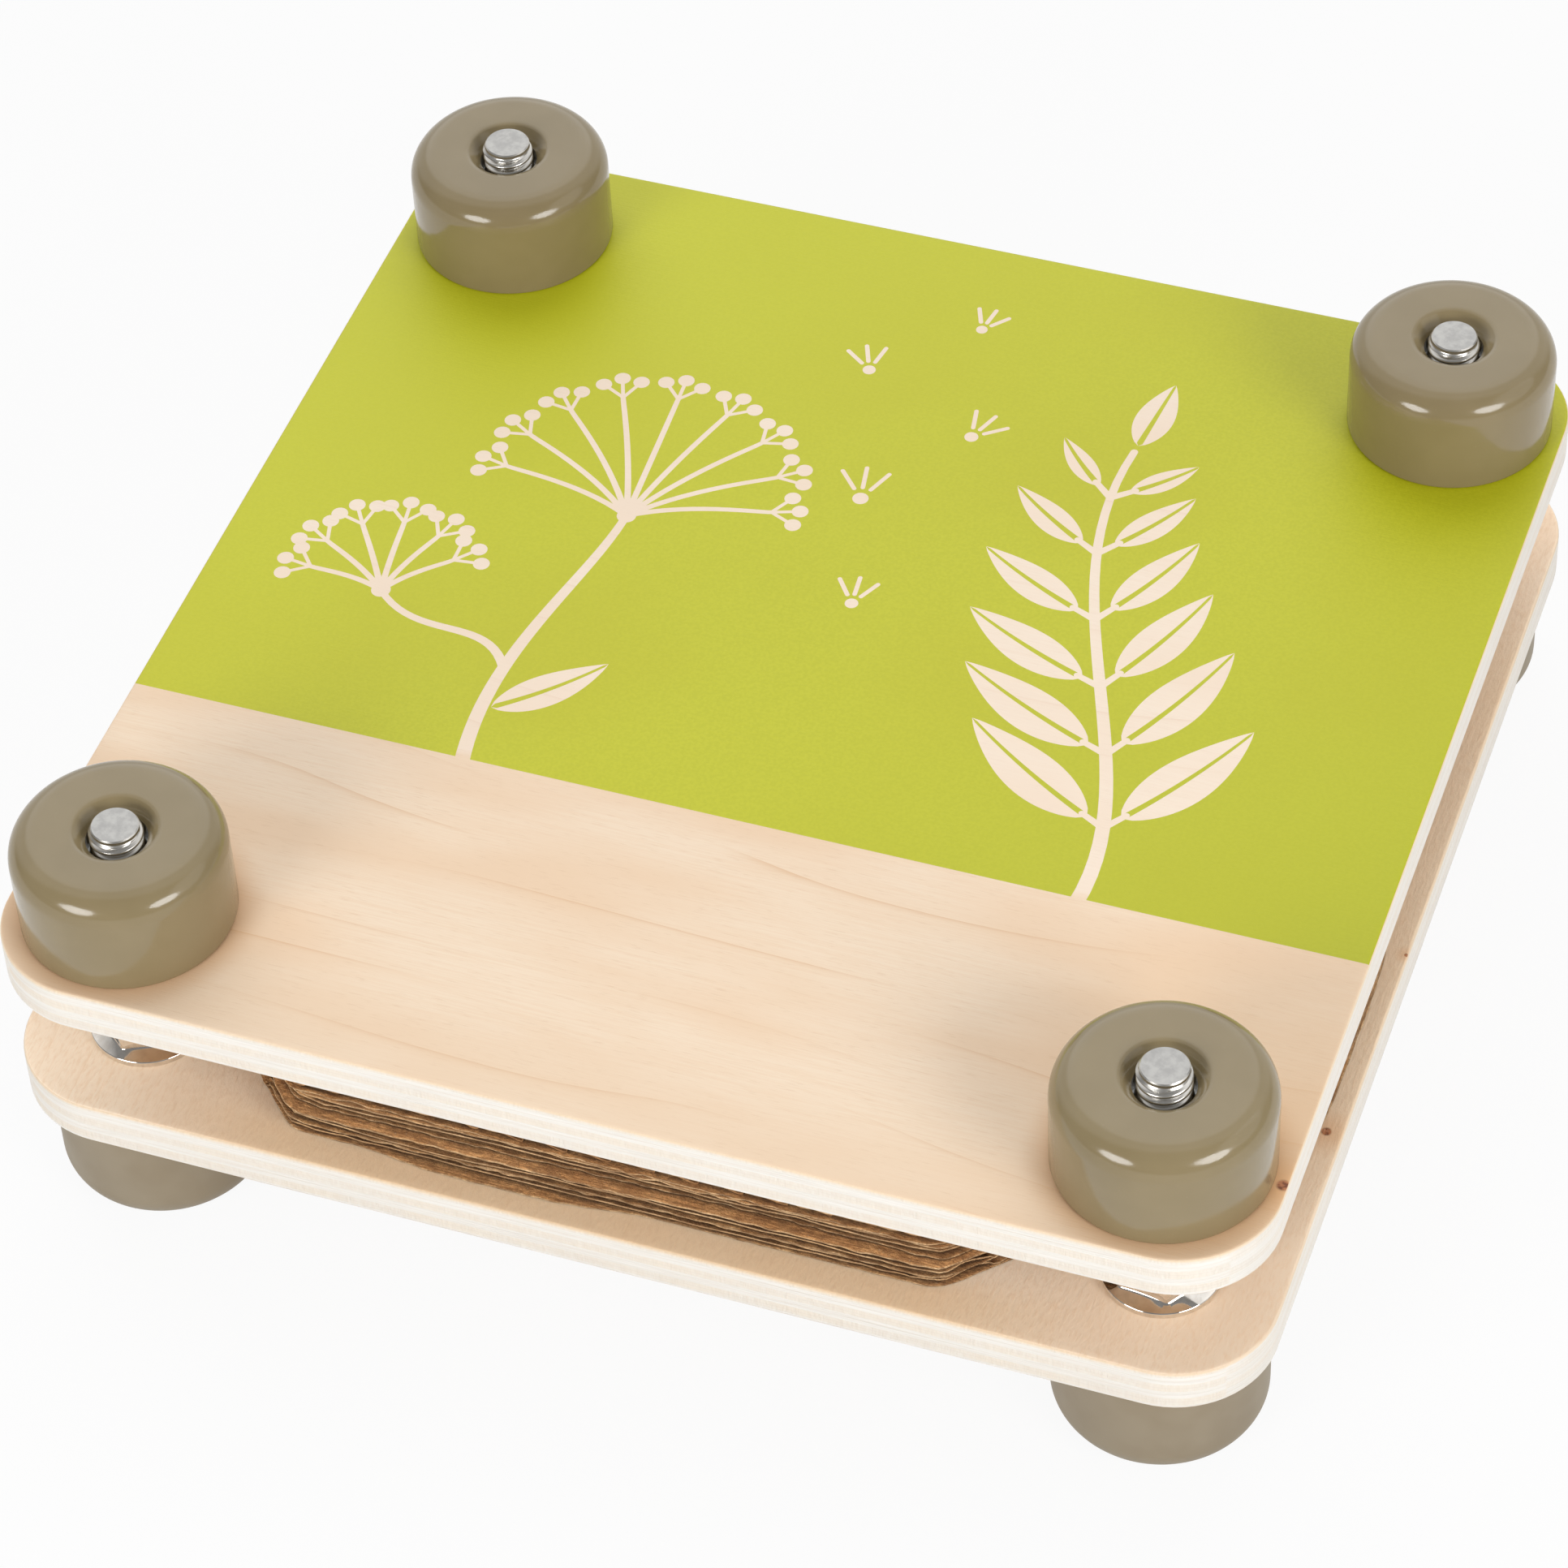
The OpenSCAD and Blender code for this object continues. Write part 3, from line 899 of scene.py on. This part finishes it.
class Sheet:
    """One sheet of corrugated board: its two facings and the wave glued between them."""

    def __init__(self, number, low, high, sags):
        rng = np.random.default_rng(100 + number)
        self.number = number
        self.low = low
        self.high = high
        self.sags = sags
        self.crosswise = number == CROSSWISE_SHEET
        self.pinch_low = wander(rng, 2, 14)
        self.pinch_high = wander(rng, 2, 14)
        self.crinkle = [wander(rng, 40, 130) for _ in range(2)]
        self.edges = [[wander(rng, *counts) for counts in ((2, 9), (14, 50), (60, 200))] for _ in range(3)]

    def closed_share(self, angles):
        """1 where the edge runs along the flutes and is pinched shut by the cut, 0 where the flutes open."""
        along = np.abs(np.cos(angles)) if self.crosswise else np.abs(np.sin(angles))
        share = np.clip((along - SHUT_FROM) / SHUT_WIDTH, 0, 1)
        return share * share * (3 - 2 * share)

    def edge(self, layer, angles):
        """How far a layer's edge stands out from the sheet's outline."""
        slow, middling, fast = (wave(angles) for wave in self.edges[layer])
        rough = 0.45 if layer == 0 and self.number == 1 else 1
        out = (0.09 * slow + 0.05 * middling + 0.07 * fast) * rough * MM
        front = np.clip(0.3 - np.sin(angles), 0, 1)
        out -= (self.number - 1) * SET_BACK * front
        if layer == 2:
            out -= WAVE_SET_BACK * (1 - self.closed_share(angles))
        if layer == 0 and self.number == 1:
            x = octagon(angles) * np.cos(angles)
            out += (front > 0.3) * LIP_SIZE * plateau(x, LIP_PLACE, LIP_WIDTH)
        if self.number <= 2:
            y = octagon(angles) * np.sin(angles)
            out += (np.cos(angles) > 0) * SIDE_LIP_SIZE * plateau(y, SIDE_LIP_PLACE, SIDE_LIP_WIDTH)
        return out

    def faces_at(self, angles, inset):
        """Heights of the undersides of the lower and the upper facing at places near the edge."""
        shut = self.closed_share(angles)
        rise = (0.2 + 0.05 * self.pinch_low(angles)) * MM * shut * (self.number > 1)
        drop = (0.3 + 0.07 * self.pinch_high(angles)) * MM * (0.4 + 0.6 * shut)
        if self.crosswise:
            drop = drop + CRUSHED_DROP * (1 - shut)
        sag_low, sag_high = (sag(angles) * near_edge(inset, SAG_REACH) for sag in self.sags)
        wrinkle_low, wrinkle_high = (WRINKLE_SIZE * wave(angles) * near_edge(inset, WRINKLE_REACH)
                                     for wave in self.crinkle)
        if self.number == 1:
            wrinkle_low = np.abs(wrinkle_low)
        x = octagon(angles) * np.cos(angles)
        gape = GAPE_SIZE * plateau(x, GAPE_PLACE, GAPE_WIDTH) * (np.sin(angles) < 0) * near_edge(inset, SAG_REACH)
        pinched = near_edge(inset, PINCH_REACH)
        lower = self.low + sag_low + np.maximum(rise, 0) * pinched + wrinkle_low
        lower = lower + gape * (self.number == CROSSWISE_SHEET)
        upper = self.high - FACING + sag_high - np.maximum(drop, 0) * pinched - np.abs(wrinkle_high)
        upper = upper - gape * (self.number == CROSSWISE_SHEET - 1)
        return lower, np.maximum(upper, lower + FACING + LEAST_GAP)

    def facing(self, layer):
        """Rings of one facing, from the middle of its underside round its edge to the middle of its top."""
        angles = TAU * np.arange(PAPER_STEPS) / PAPER_STEPS
        reach = octagon(angles)
        out = self.edge(layer, angles)
        under, over = [], []
        for inset in np.array([18, 9, 5, 3, 1.8, 1, 0.45, 0.12, 0]) * MM:
            radius = reach - inset + out * near_edge(inset, EDGE_REACH)
            height = self.faces_at(angles, inset)[layer]
            closeness = 0.4 * FACING * near_edge(inset, WEAR_REACH)
            under.append((radius, height + closeness))
            over.append((radius, height + FACING - closeness))
        return turned(under + over[::-1], PAPER_STEPS, closed=False)

    def wave(self):
        """The wave as a closed skin: rows step across the flutes and columns run along them."""
        far = SHEET_REACH - WAVE_END_INSET
        row_count = int(2 * far / FLUTE_PITCH * ROWS_PER_FLUTE)
        across = np.linspace(-far, far, row_count)
        # Half the wave's length at each row, corrected until it ends on the sheet's outline
        half = np.full(row_count, 1.4 * far)
        for _ in range(40):
            angle = np.arctan2(across, half)
            half -= 0.5 * (np.hypot(across, half) - octagon(angle) + WAVE_SIDE_INSET)
        shares = np.sin(np.linspace(-0.5, 0.5, WAVE_COLUMNS) * math.pi)
        shares = np.sign(shares) * (1 - (1 - np.abs(shares)) ** 0.85)
        along = half[:, None] * shares[None, :]
        across = np.repeat(across[:, None], len(shares), axis=1)
        angle = np.arctan2(along, -across) if self.crosswise else np.arctan2(across, along)
        out = self.edge(2, angle)
        to_side = half[:, None] - np.abs(along)
        to_end = far - np.abs(across)
        along = along + np.sign(along) * out * near_edge(to_side, EDGE_REACH)
        across = across + np.sign(across) * out * near_edge(to_end, END_REACH)
        phase = TAU * across / FLUTE_PITCH + 0.5 * self.number
        rise = 0.5 + 0.5 * np.cos(phase)
        crushed = near_edge(to_end, CRUSH_REACH)
        rise = rise * (1 - crushed) + (0.5 + 0.1 * self.pinch_low(angle)) * crushed
        lean = (FLUTE_LEAN + 0.1 * self.pinch_low(angle)) * FLUTE_PITCH * near_edge(to_side, LEAN_REACH)
        across = across + lean * (rise - 0.5) * (np.abs(across) < far - FLUTE_PITCH)
        inset = np.minimum(to_side * 0.8, to_end)
        lower, upper = self.faces_at(angle, inset)
        bottom = lower + FACING
        gap = np.maximum(upper - bottom, LEAST_WAVE)
        slope = np.sin(phase) * (gap - WAVE) * math.pi / FLUTE_PITCH * (1 - crushed)
        thick = np.minimum(WAVE * np.sqrt(1 + slope ** 2), 0.9 * gap)
        centre = bottom + gap / 2 + (gap - thick) * (rise - 0.5) * GLUED_SWING
        x, y = (across * -1, along) if self.crosswise else (along, across)
        skins = [np.stack((x, y, centre + way * thick / 2), axis=-1).reshape(-1, 3) for way in (-1, 1)]
        return self.close_skins(skins, *x.shape)

    @staticmethod
    def close_skins(skins, rows, columns):
        """Joins two grids of the same size into one closed skin."""
        grid = np.arange(rows * columns).reshape(rows, columns)
        flat = np.stack((grid[:-1, :-1], grid[:-1, 1:], grid[1:, 1:], grid[1:, :-1]), axis=-1).reshape(-1, 4)
        rim = np.concatenate((grid[0, :-1], grid[:-1, -1], grid[-1, :0:-1], grid[:0:-1, 0]))
        after = np.roll(rim, -1)
        upper = rows * columns
        sides = np.stack((rim, after, after + upper, rim + upper), axis=-1)
        return np.concatenate(skins), np.concatenate((flat, flat + upper, sides)).tolist()


def add_sheets(paper, cut):
    """The six sheets; the stack's inner faces sag together, and its outer faces stay flat on the boards."""
    rng = np.random.default_rng(11)
    level = [lambda angles: 0 * angles]
    sags = level + [(lambda angles, wave=wander(rng, 2, 9): SAG_SIZE * wave(angles)) for _ in SHEETS[1:]] + level
    for number in SHEETS:
        node = f"sheet_{number}"
        low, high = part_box(node)
        sheet = Sheet(number, low.z, high.z, (sags[number - 1], sags[number]))
        points, faces, numbers = [], [], []
        count = 0
        for kind, (part_points, part_faces) in enumerate((sheet.facing(0), sheet.facing(1), sheet.wave())):
            faces += [[count + k for k in face] for face in part_faces]
            numbers += (facing_numbers(len(part_faces)) if kind < 2
                        else wave_numbers(part_faces, part_points, sheet.crosswise))
            points.append(part_points)
            count += len(part_points)
        points = np.concatenate(points) + (middle(node).x, middle(node).y, 0)
        body = "base" if number == 1 else node
        add_piece(f"paper_{number}", points, faces, [paper, cut], body, [node], numbers, crease=60)


def wave_numbers(faces, points, crosswise):
    """Material of each face of the wave: where it is cut along its flutes, its rim shows paler fibres."""
    skin = len(points) // 2
    pale = 0 if crosswise else 1
    return [pale if min(face) < skin <= max(face) else 0 for face in faces]


def facing_numbers(face_count):
    """Material of each face of a facing: its narrow cut edge shows paler fibres."""
    rings = (face_count - 2) // PAPER_STEPS + 1
    cut_rows = (rings // 2 - 2, rings // 2 - 1, rings // 2)
    return [1 if row in cut_rows else 0 for row in range(rings - 1) for _ in range(PAPER_STEPS)] + [0, 0]


# Camera, floor and light

def direction_from(azimuth, elevation):
    """Unit vector towards an azimuth measured from -Y to +X and an elevation above the floor, in degrees."""
    a, e = math.radians(azimuth), math.radians(elevation)
    return Vector((math.sin(a) * math.cos(e), -math.cos(a) * math.cos(e), math.sin(e)))


def add_camera():
    back = direction_from(VIEW_AZIMUTH, VIEW_ELEVATION)
    level = Vector((math.cos(math.radians(VIEW_AZIMUTH)), math.sin(math.radians(VIEW_AZIMUTH)), 0))
    upright = back.cross(level)
    roll = math.radians(VIEW_ROLL)
    right = math.cos(roll) * level + math.sin(roll) * upright
    up = math.cos(roll) * upright - math.sin(roll) * level
    place = Vector((0, 0, VIEW_HEIGHT)) + back * VIEW_DISTANCE + right * VIEW_RIGHT + up * VIEW_UP
    data = bpy.data.cameras.new("camera")
    data.sensor_width = SENSOR
    data.sensor_height = SENSOR
    data.lens = FOCAL_PIXELS / PICTURE_SIDE * SENSOR
    data.clip_start = 10 * MM
    camera = add_object("camera", data)
    turn = Matrix((right, up, back)).transposed()
    camera.matrix_world = Matrix.Translation(place) @ turn.to_4x4()
    bpy.context.scene.camera = camera


def add_softbox(name, azimuth, elevation, distance, size, radiance):
    """An oval lamp that faces the press, at a given brightness of its surface."""
    data = bpy.data.lights.new(name, "AREA")
    data.shape = "ELLIPSE"
    data.size, data.size_y = size
    data.energy = radiance * math.pi * math.pi / 4 * size[0] * size[1]
    towards = direction_from(azimuth, elevation)
    turn = towards.to_track_quat("Z", "Y").to_matrix().to_4x4()
    place = Vector((0, 0, LAMP_TARGET)) + towards * distance
    add_object(name, data).matrix_world = Matrix.Translation(place) @ turn


def seen_flag(tree, *kinds):
    """1 for rays of the given kinds."""
    paths = add_node(tree, "LightPath")
    flag = Field(paths.outputs[kinds[0]])
    for kind in kinds[1:]:
        flag = flag + Field(paths.outputs[kind])
    return flag.math("MINIMUM", 1.0)


def add_world():
    """A dim room with a bright backdrop behind the press; the camera itself sees plain white."""
    world = bpy.data.worlds.new("studio")
    tree = empty_tree(world)
    centre = direction_from(VIEW_AZIMUTH + 180, BACKDROP_ELEVATION)
    towards = node_field(tree, "TexCoord", output="Generated")
    nearness = node_field(tree, "VectorMath", {0: towards, 1: centre}, "Value", operation="DOT_PRODUCT")
    end, full, wide_end, wide_full = (math.cos(math.radians(angle)) for angle in (
        BACKDROP_END, BACKDROP_FULL, BACKGROUND_END, BACKGROUND_FULL))
    light = nearness.levels(end, full, ROOM_LIGHT, BACKDROP_LIGHT)
    mirrored = nearness.levels(wide_end, wide_full, 0.0, BACKGROUND_WHITE) * seen_flag(tree, "Is Glossy Ray")
    light = light.math("MAXIMUM", mirrored)
    seen = seen_flag(tree, "Is Camera Ray", "Is Transmission Ray")
    strength = light * (seen * -1 + 1) + seen * BACKGROUND_WHITE
    background = node_field(tree, "Background", {"Color": (1, 1, 1, 1), "Strength": strength})
    add_node(tree, "OutputWorld", {0: background})
    bpy.context.scene.world = world


def add_floor():
    """A plain pale floor that keeps the soft shadow of the press."""
    material = bpy.data.materials.new("pale_floor")
    tree = empty_tree(material)
    seen = seen_flag(tree, "Is Camera Ray", "Is Glossy Ray", "Is Transmission Ray")
    diffuse = node_field(tree, "BsdfDiffuse", {"Color": (FLOOR_TONE,) * 3 + (1,)})
    white = node_field(tree, "Emission", {"Color": (1, 1, 1, 1), "Strength": BACKGROUND_WHITE})
    blend = node_field(tree, "MixShader", {0: seen * FLOOR_WHITE_SHARE, 1: diffuse, 2: white})
    add_node(tree, "OutputMaterial", {0: blend})
    mesh = bpy.data.meshes.new("floor")
    half = FLOOR_SIDE / 2
    mesh.from_pydata([(-half, -half, 0), (half, -half, 0), (half, half, 0), (-half, half, 0)], [], [(0, 1, 2, 3)])
    mesh.materials.append(material)
    floor = add_object("floor", mesh)
    floor.location.z = -FLOOR_GAP


def add_boards():
    add_board("base_plywood", "base_board", base_veneer(), ply_edge("base_plies", "base_board"))
    add_board("top_plywood", "top_board", top_veneer(), ply_edge("top_plies", "top_board"),
              print_ink())


def add_corner_pieces():
    satin, matt = satin_lacquer(), matt_lacquer()
    bright, dull, nickel = bright_zinc(), dull_zinc(), polished_nickel()
    for corner in CORNERS:
        knob, foot, bolt = f"knob_{corner}", f"foot_{corner}", f"bolt_{corner}"
        insert, washer, nut = f"insert_{corner}", f"washer_{corner}", f"flange_nut_{corner}"
        rings = knob_rings(*size_of(knob), *size_of(insert))
        add_turned(f"turned_{knob}", rings, satin, knob, knob, "painted_wood")
        rings = foot_rings(*size_of(foot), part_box(washer)[1].z)
        add_turned(f"turned_{foot}", rings, matt, "base", foot, "painted_wood")
        add_turned(f"turned_{insert}", insert_rings(*size_of(insert)), dull, knob, insert, "zinc_steel")
        add_turned(f"flat_{washer}", washer_rings(*size_of(washer)), dull, "base", washer, "zinc_steel")
        add_turned(f"polished_{nut}", nut_rings(*size_of(nut)), nickel, "base", nut, "nickel_nut",
                   turn=NUT_TURNS[corner], steps=NUT_STEPS)
        shank = (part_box("base_board")[1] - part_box(bolt)[0]).z
        rings = bolt_rings(THREAD_BORE - JOINT_GAP, size_of(bolt)[1], shank)
        add_turned(f"threaded_{bolt}", rings, bright, "base", bolt, "zinc_bolt", steps=BOLT_STEPS, closed=False)


bpy.context.scene.view_settings.view_transform = "Standard"
add_camera()
add_world()
add_floor()
add_softbox("right_window", 60, 24, 1.1, (0.56, 0.42), 10.0)
add_softbox("left_window", -22, 20, 1.1, (0.56, 0.42), 10.0)
add_softbox("side_wall", 95, 32, 1.2, (1.0, 0.8), 0.8)
add_boards()
add_corner_pieces()
add_sheets(kraft_paper("kraft_paper", tone(228, 172, 112), tone(204, 148, 92)),
           kraft_paper("kraft_cut", tone(246, 208, 158), tone(228, 184, 132)))
